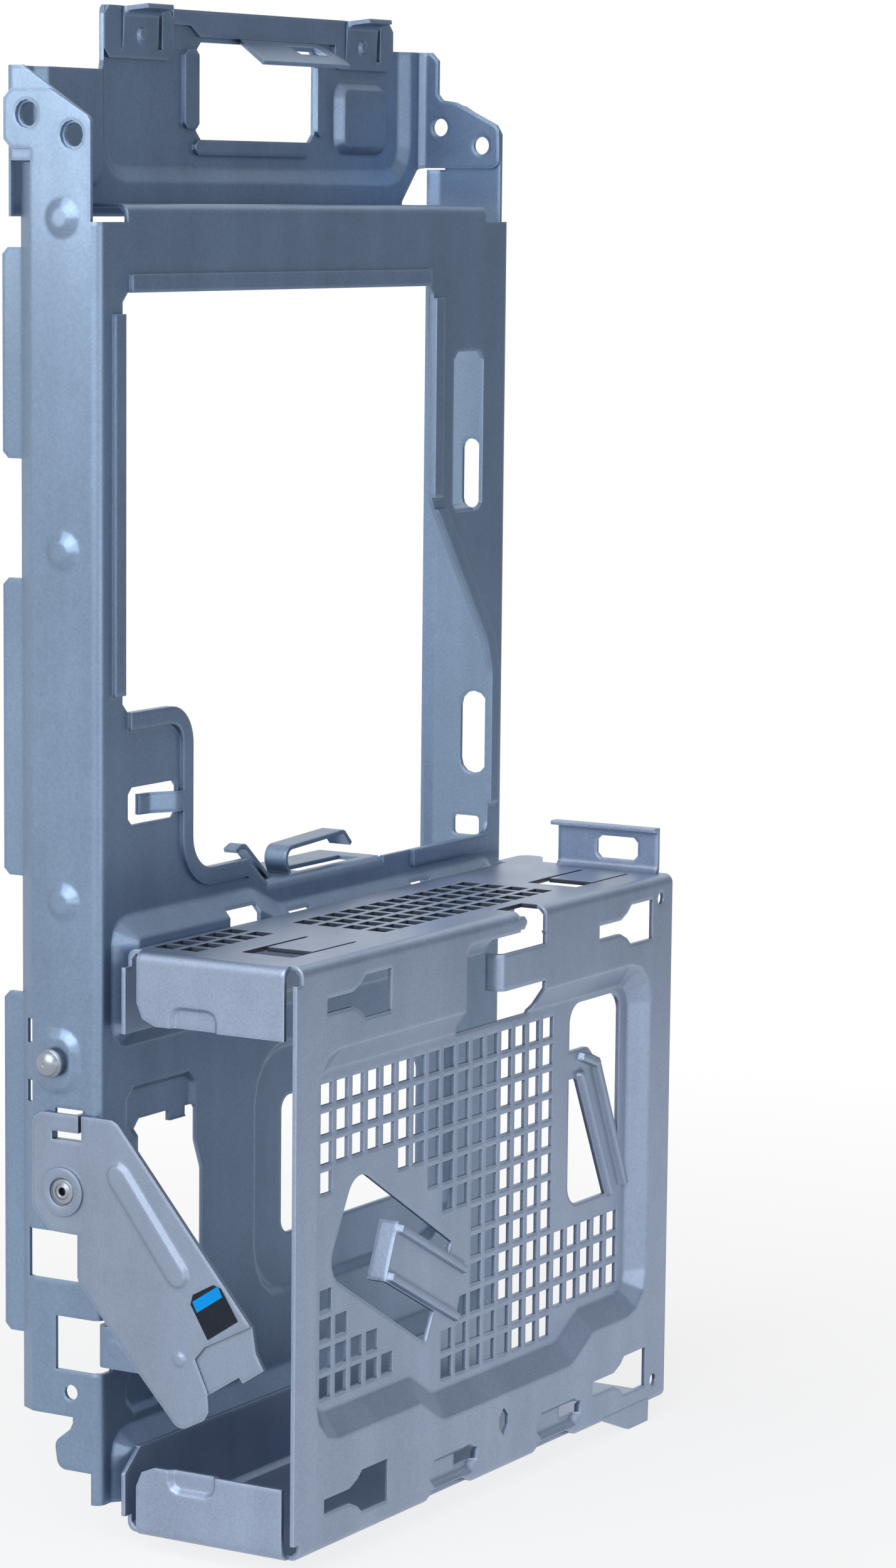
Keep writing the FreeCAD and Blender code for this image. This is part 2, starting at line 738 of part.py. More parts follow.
def side_flange(shell, edge, inward, back):
    """A left flange with a pocket pressed in at its free edge and a rounded rear corner."""
    first, last = cage_front + 22.0, cage_front + 32.5
    pocket = rect(first, last, edge - 4.0, edge + 4.0, 1.5)
    shell = drawn(shell, "x", -cage_half, 1.1, pocket, 1.2, 2)
    beyond = rect(first - 4, last + 4, edge, edge + inward * 8.0)
    corner = [
        (back - 5.0, edge),
        (back - 1.5, edge - inward * 1.5),
        (back, edge - inward * 5.0),
        (back + 1, edge - inward * 5.0),
        (back + 1, edge + inward),
        (back - 5.0, edge + inward),
    ]
    return shell.cut([slab("x", -cage_half - 1, 5 * SHEET, corners) for corners in (beyond, corner)])


def keyhole():
    """Keyhole outline from the end of its narrow slot."""
    return [
        (0, -1.7, 0.8),
        (10.8, -1.7),
        (14.2, -3.2),
        (16.2, -4.9, 1),
        (27.4, -4.9, 1),
        (27.4, 4.9, 1),
        (16.2, 4.9, 1),
        (14.2, 3.2),
        (10.8, 1.7),
        (0, 1.7, 0.8),
    ]


def cage_front_cuts():
    """Openings of the front plate, apart from the square perforations."""
    cuts = []
    for x in (across(7.2), across(78.5)):
        for z in (10.2, below(7.5)):
            cuts.append(slab("y", cage_front - 1, SHEET + 2, moved(keyhole(), x, z)))
    middle = rect(across(42.0), across(63.4), below(19.4), below(3.6), 2)
    cuts.append(slab("y", cage_front - 1, FIELD_DEPTH + SHEET + 2, middle))
    through_bend = rect(across(56.3), across(63.4), below(4.5), CAGE_HEIGHT + 1)
    cuts.append(slab("y", cage_front - 1, 8.0, through_bend))
    diamond = [
        (across(17.9), below(37.1), 6),
        (across(42.5), below(56.1), 1),
        (across(35.9), below(72.5), 1),
        (across(10.9), below(53.9), 6),
    ]
    cuts.append(slab("y", field_front - 1, SHEET + 2, diamond))
    tall = rect(across(74.2), across(88.7), below(57.5), below(20.2), 5)
    cuts.append(slab("y", field_front - 1, SHEET + 2, tall))
    slot_width = across(54.6) - across(52.1)
    slot = rect(across(52.1), across(54.6), below(93.6), below(88.7), min(2.0, 0.46 * slot_width))
    cuts.append(slab("y", cage_front - 1, SHEET + 2, slot))
    for z in (5.8, below(4.1)):
        cuts.append(slab("y", cage_front - 1, SHEET + 2, ring(across(96.5), z, 1.6), 3))
    for x in (across(33.4), across(62.3)):
        notch = [
            (x, -1),
            (x, 2.8, 1.5),
            (x + 15.0, 2.8, 2),
            (x + 22.0, 0.4, 3),
            (x + 23.0, -1),
        ]
        cuts.append(slab("y", cage_front - 1, OUTER_BEND + 2, notch))
        window = rect(x + 14.0, x + 22.2, 5.8, 8.8, 1)
        cuts.append(slab("y", cage_front - 1, SHEET + 5, window))
    return cuts


def beside(place, along, forth, aside):
    """A corner moved along a direction and to its left."""
    return (place[0] + along.x * forth - along.y * aside, place[1] + along.y * forth + along.x * aside)


def rail(first, last, width):
    """A rounded rail along an arm's edge, standing proud of the field."""
    along = unit(first, last)
    foot = [
        (*first, 0.6),
        (*last, 0.6),
        (*beside(last, along, 0, width), 0.6),
        (*beside(first, along, 0, width), 0.6),
    ]
    return frustum("y", field_front + SHEET / 2, foot, field_front - RAIL_RISE, grown(foot, -0.7))


def cage_tongues():
    """Tongues and arms lanced out of the cage's front."""
    tongue = [
        (across(63.7), cage_front),
        (across(51.4), cage_front, OUTER_BEND),
        (across(51.4), cage_front + 4.6),
    ]
    nub = rect(across(55.4), across(58.0), below(3.2), below(0.9), 1.2)
    web = [
        (across(28.6), below(49.1)),
        (across(46.3), below(61.0)),
        (across(43.5), below(71.0)),
        (across(25.5), below(58.9)),
    ]
    channel = [
        (across(73.6), below(28.8)),
        (across(79.4), below(28.8), 3),
        (across(83.6), below(33.6), 4),
        (across(91.0), below(56.2)),
        (across(91.0), below(58.6)),
        (across(85.6), below(58.6)),
        (across(76.4), below(34.0), 2),
        (across(73.6), below(34.0)),
    ]
    along = unit(web[0], web[1])
    end = [web[0], beside(web[0], along, SHEET, 0), beside(web[3], along, SHEET, 0), web[3]]
    rails = [
        rail(web[0], web[1], -RAIL),
        rail(web[3], web[2], RAIL),
        rail((across(77.0), below(29.0)), (across(82.6), below(31.6)), -RAIL),
        rail((across(81.9), below(30.6)), (across(91.2), below(56.8)), -RAIL),
        rail((across(76.2), below(33.3)), (across(85.6), below(58.6)), RAIL),
    ]
    return [
        slab("z", below(13.4), 8.8, strip(tongue, SHEET)),
        slab("y", cage_front, SHEET, nub),
        slab("y", field_front, SHEET, web),
        slab("y", field_front, ARM_END, end),
        slab("y", field_front, SHEET, channel, 3),
    ] + rails


def cage_end_tab():
    """The upstanding flange at the right end of the top plate."""
    fold = [
        (cage_half - 6.0, CAGE_HEIGHT),
        (cage_half - SHEET, CAGE_HEIGHT, INNER_BEND),
        (cage_half - SHEET, CAGE_HEIGHT + END_TAB - 0.2),
    ]
    tab = slab("y", cage_front + 3.8, 28.3, strip(fold, SHEET))
    lip = rect(cage_half - 3.0, cage_half, CAGE_HEIGHT + END_TAB - SHEET, CAGE_HEIGHT + END_TAB, 0.4)
    hole = rect(cage_front + 9.4, cage_front + 21.1, CAGE_HEIGHT + 2.6, CAGE_HEIGHT + END_TAB - 2.9, 1.2)
    lobe = [
        (cage_half - 6.0, cage_back - 9.0),
        (cage_half - 1.0, cage_back - 9.0, 2),
        (cage_half + LOBE, cage_back - 4.5, 3),
        (cage_half + LOBE, cage_back + 1.5, 3),
        (cage_half - 6.0, cage_back + 1.5),
    ]
    return [
        tab.cut(slab("x", cage_half - 3, 5, hole)),
        slab("y", cage_front + 3.8, 29.5, lip),
        slab("z", CAGE_HEIGHT - SHEET, SHEET, lobe),
    ]


def drive_cage():
    """The folded sheet that holds the drive."""
    shell = cage_shell()
    field = [
        (across(8.3), below(19.2), 4),
        (across(91.0), below(19.2), 5),
        (across(91.0), below(77.4), 5),
        (across(77.7), below(77.4), 4),
        (across(71.4), below(82.0), 4),
        (across(37.7), below(82.0), 4),
        (across(32.0), below(77.4), 4),
        (across(8.3), below(77.4), 4),
    ]
    shell = drawn(shell, "y", cage_front, FIELD_DEPTH, field, FIELD_RUN, 3)
    for x in (across(33.4), across(62.3)):
        louvre = rect(x + 2.0, x + 21.0, 4.5, 8.5, 1.0)
        shell = drawn(shell, "y", cage_front, 1.5, louvre, 1.5)
    for x in (across(7.0), across(80.7)):
        slits = [
            rect(x, x + 9.5, cage_front + 8.8, cage_front + 22.6, 1),
            rect(x + 9.0, x + 27.0, cage_front + 21.6, cage_front + 22.6),
            rect(x + 9.0, x + 27.0, cage_front + 8.8, cage_front + 9.6),
        ]
        shell = shell.cut([slab("z", CAGE_HEIGHT - 2, 4, slit) for slit in slits])
    shell = shell.cut(cage_front_cuts())
    shell = shell.cut(perforations() + top_perforations())
    hook = [
        (across(81.7), 1.5),
        (across(82.6), 0.2, 3),
        (across(89.4), -HOOK_DROP, 3),
        (across(95.2), -HOOK_DROP, 1),
        (across(95.3), 1.5),
    ]
    pieces = [shell, slab("y", cage_front, SHEET, hook)]
    return joined(pieces + cage_tongues() + cage_end_tab())


def about_pivot(corners):
    """Corners given from the lever's pivot, in hundredths of its length, at their place on the part."""
    share = LEVER_LENGTH / 100
    return [(PIVOT_BACK + c[0] * share, PIVOT_HEIGHT + c[1] * share, radius_of(c) * share) for c in corners]


def latch_lever():
    """The flat lever with its bead, boss and stop tongue."""
    plate = about_pivot([
        (13.4, 27.9, 5.5),
        (-22.4, 27.9, 3.2),
        (-79.3, -38.6, 4.7),
        (-80.9, -48.1, 3.2),
        (-84.2, -53.9, 1.6),
        (-75.7, -59.5, 0.8),
        (-74.0, -57.6, 0.8),
        (-61.5, -65.6, 1.6),
        (-62.1, -73.8, 3.2),
        (-49.7, -80.1, 4.7),
        (-32.3, -61.5, 7.9),
        (-6.2, -31.5, 3.2),
        (-6.2, -15.1, 1.3),
        (5.5, -14.8, 4.7),
        (13.4, -7.1, 4.7),
    ])
    lever = slab("x", lever_out, LEVER_SHEET, plate)
    pull = slab("x", lever_out - 1, 6, about_pivot([
        (-84.4, -36.0),
        (-60.3, -48.4),
        (-56.2, -53.3),
        (-61.2, -63.9),
        (-66.2, -78.9),
        (-94.6, -63.1),
    ]))
    pressed = slab("x", lever_out + PULL_DEPTH, LEVER_SHEET, plate).common(pull)
    lever = joined([lever.cut(pull), pressed])
    bead = about_pivot(racetrack((-23.7, 8.2), (-48.9, -24.3), 3.6))
    lever = drawn_lever(lever, bead, 0.8, 0.9)
    boss = disc("x", lever_out - 0.6, 0.6, PIVOT_BACK, PIVOT_HEIGHT, 5.5)
    dish = disc("x", lever_out - 1, 1, PIVOT_BACK, PIVOT_HEIGHT, 3.3)
    bore = disc("x", lever_out - 1, 4, PIVOT_BACK, PIVOT_HEIGHT, PIVOT_RADIUS + RUNNING_GAP)
    slot = slab("x", lever_out - 1, 4, about_pivot(rect(-7.9, 4.7, 18.5, 21.6, 1.3)))
    release = slab("x", lever_out - 1, 4, about_pivot(rect(-7.9, -6.5, 18.5, 30.0)))
    tongue = about_pivot(rect(-6.5, -4.6, 21.6, 27.9))
    tip = slab("x", lever_out, LEVER_SHEET + LEVER_GAP + SHEET + 1.5, tongue)
    dimple_foot = about_pivot(rect(-52.5, -46.8, -57.3, -51.6, 2.7))
    dimple = frustum("x", lever_out + 0.1, dimple_foot, lever_out - 0.5, grown(dimple_foot, -0.6), 2)
    lever = joined([lever.cut([slot, release]), boss, dimple, tip])
    return lever.cut([dish, bore])


def drawn_lever(lever, crest, rise, run):
    """The lever's plate with a bead pressed outward."""
    foot = grown(crest, run)
    body = frustum("x", lever_out, foot, lever_out - rise, crest, 2)
    hollow = frustum("x", lever_in, grown(foot, -0.5), lever_in - rise, grown(crest, -0.5), 2)
    return lever.fuse(body).cut(hollow)


def lever_pivot():
    """Hollow eyelet rivet: head in the lever's dish, shank through the flange."""
    head = lever_out - 0.1
    inner = -half + SHEET
    pieces = [
        disc("x", head - 0.5, 0.5, PIVOT_BACK, PIVOT_HEIGHT, 2.9),
        disc("x", head, inner + 0.5 - head, PIVOT_BACK, PIVOT_HEIGHT, PIVOT_RADIUS),
    ]
    bore = slab("x", head - 2, 8, ring(PIVOT_BACK, PIVOT_HEIGHT, PIVOT_BORE), 2)
    return joined(pieces).cut(bore)


def guide_stud():
    """Headed stud fixed in the raised boss of the left flange."""
    base = -half - 1.2
    shank = STUD_RADIUS * 0.7
    profile = [
        (0, base - 4.0),
        (STUD_RADIUS - 1.0, base - 4.0),
        (STUD_RADIUS, base - 3.0),
        (STUD_RADIUS, base - 1.2),
        (shank, base - 1.2),
        (shank, base + SHEET + 0.6),
        (0, base + SHEET + 0.6),
    ]
    face = Part.Face(outline("z", 0, [(corner[1], corner[0], radius_of(corner)) for corner in profile]))
    stud = face.revolve(Vector(0, 0, 0), Vector(1, 0, 0), 360)
    stud.translate(Vector(0, STUD_BACK, stud_height))
    return stud


def lever_tag():
    """Thin plain patch near the lever's tip."""
    corners = about_pivot([
        (-74.1, -37.4, 0.6),
        (-65.8, -24.6, 2.5),
        (-53.2, -31.5, 2.5),
        (-61.8, -45.6, 0.6),
    ])
    return slab("x", lever_out - TAG_SHEET, TAG_SHEET, corners)


def build():
    """All pieces by name, with the origin under the middle of the whole part."""
    pieces = {
        "main_frame": main_frame(),
        "upper_bracket": upper_bracket(),
        "drive_cage": drive_cage(),
        "latch_lever": latch_lever(),
        "lever_pivot": lever_pivot(),
        "guide_stud": guide_stud(),
        "lever_tag": lever_tag(),
    }
    box = Part.makeCompound(list(pieces.values())).BoundBox
    shift = Vector(-box.Center.x, -box.Center.y, -box.ZMin)
    for shape in pieces.values():
        shape.translate(shift)
    pivot = Vector(-half, PIVOT_BACK, PIVOT_HEIGHT) + shift
    print("origin shift", tuple(shift), "pivot", tuple(pivot))
    return pieces


os.makedirs("parts", exist_ok=True)
for name, shape in build().items():
    print(name, shape.ShapeType, len(shape.Solids), shape.isValid(), round(shape.Volume))
    shape.exportStep("parts/" + name + ".step")
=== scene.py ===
import math

import bmesh
import bpy
from mathutils import Euler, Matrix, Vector


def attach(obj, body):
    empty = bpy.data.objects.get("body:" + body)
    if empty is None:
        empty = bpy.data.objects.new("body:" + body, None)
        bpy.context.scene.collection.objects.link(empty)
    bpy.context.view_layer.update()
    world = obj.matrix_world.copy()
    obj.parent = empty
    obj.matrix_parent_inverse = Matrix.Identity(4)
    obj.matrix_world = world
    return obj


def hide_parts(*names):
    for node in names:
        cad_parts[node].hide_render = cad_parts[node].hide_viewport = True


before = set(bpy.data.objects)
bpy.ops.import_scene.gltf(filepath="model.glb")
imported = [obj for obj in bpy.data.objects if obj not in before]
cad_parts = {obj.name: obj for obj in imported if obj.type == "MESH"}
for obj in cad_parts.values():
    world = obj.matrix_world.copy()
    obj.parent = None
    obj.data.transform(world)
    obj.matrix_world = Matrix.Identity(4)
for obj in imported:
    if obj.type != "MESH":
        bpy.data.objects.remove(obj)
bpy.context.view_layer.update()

SCENE = bpy.context.scene
SCENE.view_settings.view_transform = "Standard"

# Places in metres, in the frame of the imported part
PIVOT = Vector((-0.0915, 0.0202, 0.0824))
STUD = Vector((-0.09155, 0.0229, 0.1116))
EYELET = Vector((-0.09185, 0.0202, 0.0824))
TOP_PLATE = {"X": (-0.0845, 0.0860), "Y": (-0.0365, 0.0040), "Z": (0.1370, 0.1382)}

# Turned profiles in millimetres: radius, and height out from the place
STUD_PROFILE = [
    (0.0, 3.72), (0.32, 3.74), (0.45, 3.96), (1.1, 3.90), (1.8, 3.68), (2.4, 3.32), (2.8, 2.90),
    (2.95, 2.55), (2.85, 2.40), (3.10, 2.32), (3.25, 2.15), (3.15, 1.98), (3.30, 1.90),
    (3.38, 1.65), (3.30, 1.30), (3.05, 1.20), (2.38, 1.20), (2.38, -1.60), (0.0, -1.60),
]
EYELET_PROFILE = [
    (0.90, -2.98), (0.90, 0.28), (0.98, 0.48), (1.20, 0.59), (1.50, 0.55), (1.72, 0.36),
    (1.90, 0.24), (2.30, 0.22), (2.75, 0.26), (2.90, 0.18), (2.90, 0.10), (1.60, 0.10),
    (1.60, -2.98), (0.90, -2.98),
]
TURN_STEPS = 48
WELD = 0.000005
SHARP = math.radians(40)

# The tag's upper corner, the directions of its edges, and its stripe's extent along them
TAG_CORNER = PIVOT + Vector((0, -0.0417, -0.0156))
TAG_ACROSS = Vector((0, 0.876, -0.482))
TAG_DOWN = Vector((0, -0.548, -0.837))
STRIPE_ACROSS = (0.0003, 0.0083)
STRIPE_DOWN = (0.0007, 0.0033)

# Sheet: radii of folds and of cut edges, and the reach of the painted shade in recesses
WIDE_BEND = 0.0014
CUT_EDGE = 0.0003
RECESS_SHADE_REACH = 0.004
FRAME_COLOUR = (0.217, 0.298, 0.420)
CAGE_COLOUR = (0.318, 0.386, 0.515)
LEVER_COLOUR = (0.275, 0.330, 0.430)
PLATED_COLOUR = (0.32, 0.35, 0.40)

# Studio
WHITE = (1.0, 1.0, 1.0)
WALL = (0.31, 0.338, 0.376)
WALL_SIDE = (0.62, -0.785, 0.0)
FLOOR_SIZE = 40.0
AMBIENT = 0.25
COOL = (0.94, 0.97, 1.0)
WARM = (1.0, 0.96, 0.90)
CAMERA_PLACE = (-0.93325, -0.5729, 0.3041)
CAMERA_TURN = (81.6425, -0.4808, -58.6787)


def new_material(name):
    """An empty node material with its node tree and shader."""
    material = bpy.data.materials.new(name)
    material.use_nodes = True
    tree = material.node_tree
    shader = tree.nodes["Principled BSDF"]
    return material, tree, shader


def add(tree, kind, **values):
    """A node with its properties and input values set."""
    node = tree.nodes.new(kind)
    for key, value in values.items():
        if key in node.inputs:
            node.inputs[key].default_value = value
        else:
            setattr(node, key, value)
    return node


def ramp(tree, source, low, high):
    """A colour that goes from one (position, colour) pair to another as a socket rises."""
    node = tree.nodes.new("ShaderNodeValToRGB")
    for element, (position, colour) in zip(node.color_ramp.elements, (low, high)):
        element.position = position
        element.color = (*colour, 1)
    tree.links.new(source, node.inputs["Fac"])
    return node.outputs["Color"]


def scaled(colour, by):
    """A colour made lighter or darker."""
    return tuple(min(channel * by, 1.0) for channel in colour)


def shades(tree, source, colour, low, high):
    """A ramp between two shares of one colour, from (position, share) pairs."""
    return ramp(tree, source, *((position, scaled(colour, share)) for position, share in (low, high)))


def mix(tree, factor, first, second, blend="MIX"):
    """Mixed colour of two sockets."""
    node = tree.nodes.new("ShaderNodeMix")
    node.data_type = "RGBA"
    node.blend_type = blend
    if isinstance(factor, float):
        node.inputs["Factor"].default_value = factor
    else:
        tree.links.new(factor, node.inputs["Factor"])
    tree.links.new(first, node.inputs["A"])
    tree.links.new(second, node.inputs["B"])
    return node.outputs["Result"]


def joined(tree, operation, first, second):
    """Two sockets put through one sum."""
    node = add(tree, "ShaderNodeMath", operation=operation)
    tree.links.new(first, node.inputs[0])
    tree.links.new(second, node.inputs[1])
    return node.outputs[0]


def compared(tree, operation, value, limit):
    """A socket and a number put through one sum."""
    node = add(tree, "ShaderNodeMath", operation=operation)
    tree.links.new(value, node.inputs[0])
    node.inputs[1].default_value = limit
    return node.outputs[0]


def between(tree, value, low, high):
    """1 where a value lies between two limits, else 0."""
    above = compared(tree, "GREATER_THAN", value, low)
    below = compared(tree, "LESS_THAN", value, high)
    return joined(tree, "MULTIPLY", above, below)


def dot(tree, vector, axis):
    """How far a vector socket reaches along a fixed direction."""
    node = add(tree, "ShaderNodeVectorMath", operation="DOT_PRODUCT")
    tree.links.new(vector, node.inputs[0])
    node.inputs[1].default_value = axis
    return node.outputs["Value"]


def mapped(tree, value, limits, interpolation="LINEAR"):
    """A socket carried from one span to another: from low, from high, to low, to high."""
    node = add(tree, "ShaderNodeMapRange", interpolation_type=interpolation)
    for key, limit in zip(("From Min", "From Max", "To Min", "To Max"), limits):
        node.inputs[key].default_value = limit
    tree.links.new(value, node.inputs["Value"])
    return node.outputs["Result"]


def true_normal(tree):
    """The face's own normal."""
    return tree.nodes.new("ShaderNodeNewGeometry").outputs["True Normal"]


def formed_normal(tree):
    """Normal rounded widely over folds and narrowly over cut edges, and a mask of sharp edges that
    get a painted highlight.
    """
    wide = add(tree, "ShaderNodeBevel", Radius=WIDE_BEND, samples=6).outputs["Normal"]
    narrow = add(tree, "ShaderNodeBevel", Radius=CUT_EDGE, samples=4).outputs["Normal"]
    true = true_normal(tree)
    turns = []
    for normal in (wide, narrow):
        turn = add(tree, "ShaderNodeVectorMath", operation="DOT_PRODUCT")
        tree.links.new(normal, turn.inputs[0])
        tree.links.new(true, turn.inputs[1])
        turns.append(turn.outputs["Value"])
    gentle = shades(tree, turns[0], WHITE, (0.80, 0.0), (0.90, 1.0))
    edge_highlight = shades(tree, turns[1], WHITE, (0.80, 1.0), (0.985, 0.0))
    chosen = tree.nodes.new("ShaderNodeMix")
    chosen.data_type = "VECTOR"
    tree.links.new(gentle, chosen.inputs["Factor"])
    tree.links.new(narrow, chosen.inputs["A"])
    tree.links.new(wide, chosen.inputs["B"])
    return chosen.outputs["Result"], edge_highlight


def hole_shade_mask(tree, place):
    """1 on the walls of the holes in the cage's top plate, which get painted shade in place of the
    dark inside of the cage seen through the holes.
    """
    spot = tree.nodes.new("ShaderNodeSeparateXYZ")
    facing = tree.nodes.new("ShaderNodeSeparateXYZ")
    tree.links.new(place, spot.inputs[0])
    tree.links.new(true_normal(tree), facing.inputs[0])
    mask = between(tree, facing.outputs["Z"], -0.5, 0.5)
    for axis, limits in TOP_PLATE.items():
        mask = joined(tree, "MULTIPLY", mask, between(tree, spot.outputs[axis], *limits))
    return mask


def rolled_streaks(tree, place):
    """Faint upright streaks from the rolling mill."""
    stretch = add(tree, "ShaderNodeMapping")
    stretch.inputs["Scale"].default_value = (90.0, 90.0, 9.0)
    rolled = add(tree, "ShaderNodeTexNoise", Scale=1.0, Detail=2.0, Roughness=0.5)
    tree.links.new(place, stretch.inputs["Vector"])
    tree.links.new(stretch.outputs["Vector"], rolled.inputs["Vector"])
    return shades(tree, rolled.outputs["Fac"], WHITE, (0.35, 0.91), (0.65, 1.0))


def galvanised(name, colour, roughness, grain=1.0, metallic=0.8, paint_hole_shade=False):
    """Zinc coated sheet with grain, spangle and streaks, a painted highlight on sharp edges, painted
    shade in recesses and, where asked, painted shade on hole walls.
    """
    material, tree, shader = new_material(name)
    place = tree.nodes.new("ShaderNodeTexCoord").outputs["Object"]
    speckle = add(tree, "ShaderNodeTexNoise", Scale=1500.0, Detail=3.0, Roughness=0.6)
    cloud = add(tree, "ShaderNodeTexNoise", Scale=26.0, Detail=4.0, Roughness=0.6)
    spangle = add(tree, "ShaderNodeTexVoronoi", Scale=230.0, Randomness=1.0)
    for node in (speckle, cloud, spangle):
        tree.links.new(place, node.inputs["Vector"])
    grains, clouds = speckle.outputs["Fac"], cloud.outputs["Fac"]

    fine = shades(tree, grains, colour, (0.30, 1 - 0.24 * grain), (0.70, 1 + 0.24 * grain))
    broad = shades(tree, clouds, colour, (0.35, 0.92), (0.65, 1.07))
    flakes = shades(tree, spangle.outputs["Color"], colour, (0.1, 0.94), (0.9, 1.06))
    tone = mix(tree, 0.5, fine, broad)
    tone = mix(tree, 0.3, tone, flakes)
    tone = mix(tree, 1.0, tone, rolled_streaks(tree, place), "MULTIPLY")
    normal, edge_highlight = formed_normal(tree)
    # Painted highlight: sharp edges take a lighter tone of the sheet.
    tone = mix(tree, edge_highlight, tone, shades(tree, grains, colour, (0.30, 1.45), (0.70, 1.7)))
    # Painted shade: the walls of the top plate's holes are darkened, in place of the dark inside of
    # the cage seen through a thinner sheet.
    if paint_hole_shade:
        hole_shade_tone = shades(tree, grains, colour, (0.30, 0.16), (0.70, 0.22))
        tone = mix(tree, hole_shade_mask(tree, place), tone, hole_shade_tone)
    # Painted shade: the colour darkens in recesses, by ambient occlusion.
    recess_occlusion = add(tree, "ShaderNodeAmbientOcclusion", Distance=RECESS_SHADE_REACH, samples=6, only_local=True)
    painted_recess_shade = shades(tree, recess_occlusion.outputs["AO"], WHITE, (0.30, 0.34), (0.80, 1.0))
    tone = mix(tree, 1.0, tone, painted_recess_shade, "MULTIPLY")
    tree.links.new(tone, shader.inputs["Base Color"])

    polish = shades(tree, clouds, WHITE, (0.3, roughness - 0.05), (0.7, roughness + 0.06))
    tree.links.new(polish, shader.inputs["Roughness"])
    bump = add(tree, "ShaderNodeBump", Strength=0.08 * grain, Distance=0.0003)
    tree.links.new(grains, bump.inputs["Height"])
    tree.links.new(normal, bump.inputs["Normal"])
    tree.links.new(bump.outputs["Normal"], shader.inputs["Normal"])
    shader.inputs["Metallic"].default_value = metallic
    return material


def tag_print():
    """Matt dark print with one plain blue stripe near its upper edge."""
    material, tree, shader = new_material("tag_print")
    place = tree.nodes.new("ShaderNodeTexCoord").outputs["Object"]
    bands = []
    for axis, extent in ((TAG_ACROSS, STRIPE_ACROSS), (TAG_DOWN, STRIPE_DOWN)):
        along = compared(tree, "SUBTRACT", dot(tree, place, axis), TAG_CORNER.dot(axis))
        bands.append(between(tree, along, *extent))
    stripe = joined(tree, "MULTIPLY", *bands)
    fibre = add(tree, "ShaderNodeTexNoise", Scale=2200.0, Detail=3.0)
    tree.links.new(place, fibre.inputs["Vector"])
    fibres = fibre.outputs["Fac"]
    dark = ramp(tree, fibres, (0.3, (0.011, 0.014, 0.022)), (0.7, (0.017, 0.021, 0.031)))
    blue = ramp(tree, fibres, (0.3, (0.0, 0.27, 0.70)), (0.7, (0.0, 0.31, 0.76)))
    tree.links.new(mix(tree, stripe, dark, blue), shader.inputs["Base Color"])
    shader.inputs["Roughness"].default_value = 0.6
    shader.inputs["Specular IOR Level"].default_value = 0.15
    return material


def seen_ray(tree):
    """1 for a ray that looks at the surround: from the camera, a reflection or through glass."""
    path = tree.nodes.new("ShaderNodeLightPath").outputs
    first = joined(tree, "MAXIMUM", path["Is Camera Ray"], path["Is Glossy Ray"])
    return joined(tree, "MAXIMUM", first, path["Is Transmission Ray"])


def towards_wall(tree, direction):
    """1 for a direction that meets the grey side wall of the studio and 0 away from it."""
    return mapped(tree, dot(tree, direction, WALL_SIDE), (0.50, 0.90, 0.0, 1.0), "SMOOTHSTEP")


def surround():
    """White surround with one grey side wall, beside the camera's view."""
    world = bpy.data.worlds.new("surround")
    SCENE.world = world
    world.use_nodes = True
    tree = world.node_tree
    back = tree.nodes["Background"]
    back.inputs["Color"].default_value = (0.80, 0.86, 1.0, 1)
    back.inputs["Strength"].default_value = AMBIENT
    direction = tree.nodes.new("ShaderNodeTexCoord").outputs["Generated"]
    seen = add(tree, "ShaderNodeBackground", Strength=1.0)
    colour = ramp(tree, towards_wall(tree, direction), (0.0, WHITE), (1.0, WALL))
    tree.links.new(colour, seen.inputs["Color"])
    chosen = tree.nodes.new("ShaderNodeMixShader")
    tree.links.new(seen_ray(tree), chosen.inputs["Fac"])
    tree.links.new(back.outputs[0], chosen.inputs[1])
    tree.links.new(seen.outputs[0], chosen.inputs[2])
    tree.links.new(chosen.outputs[0], tree.nodes["World Output"].inputs["Surface"])


def floor():
    """Pale floor that fades to plain white away from the part, and to grey by the side wall."""
    bpy.ops.mesh.primitive_plane_add(size=FLOOR_SIZE, location=(0, 0, -0.0002))
    body = bpy.context.object
    body.name = "floor"
    material, tree, shader = new_material("floor_white")
    shader.inputs["Base Color"].default_value = (0.9, 0.9, 0.9, 1)
    shader.inputs["Roughness"].default_value = 0.9
    place = tree.nodes.new("ShaderNodeTexCoord").outputs["Object"]
    away = add(tree, "ShaderNodeVectorMath", operation="LENGTH")
    ahead = add(tree, "ShaderNodeVectorMath", operation="NORMALIZE")
    tree.links.new(place, away.inputs[0])
    tree.links.new(place, ahead.inputs[0])
    plain = mapped(tree, away.outputs["Value"], (0.12, 0.55, 0.80, 1.0))
    far = mapped(tree, away.outputs["Value"], (0.50, 1.10, 0.0, 1.0))
    grey = joined(tree, "MULTIPLY", towards_wall(tree, ahead.outputs["Vector"]), far)
    glow = add(tree, "ShaderNodeEmission", Strength=1.0)
    tree.links.new(ramp(tree, grey, (0.0, WHITE), (1.0, WALL)), glow.inputs["Color"])
    blend = tree.nodes.new("ShaderNodeMixShader")
    tree.links.new(joined(tree, "MULTIPLY", seen_ray(tree), plain), blend.inputs["Fac"])
    tree.links.new(shader.outputs[0], blend.inputs[1])
    tree.links.new(glow.outputs[0], blend.inputs[2])
    tree.links.new(blend.outputs[0], tree.nodes["Material Output"].inputs["Surface"])
    body.data.materials.append(material)


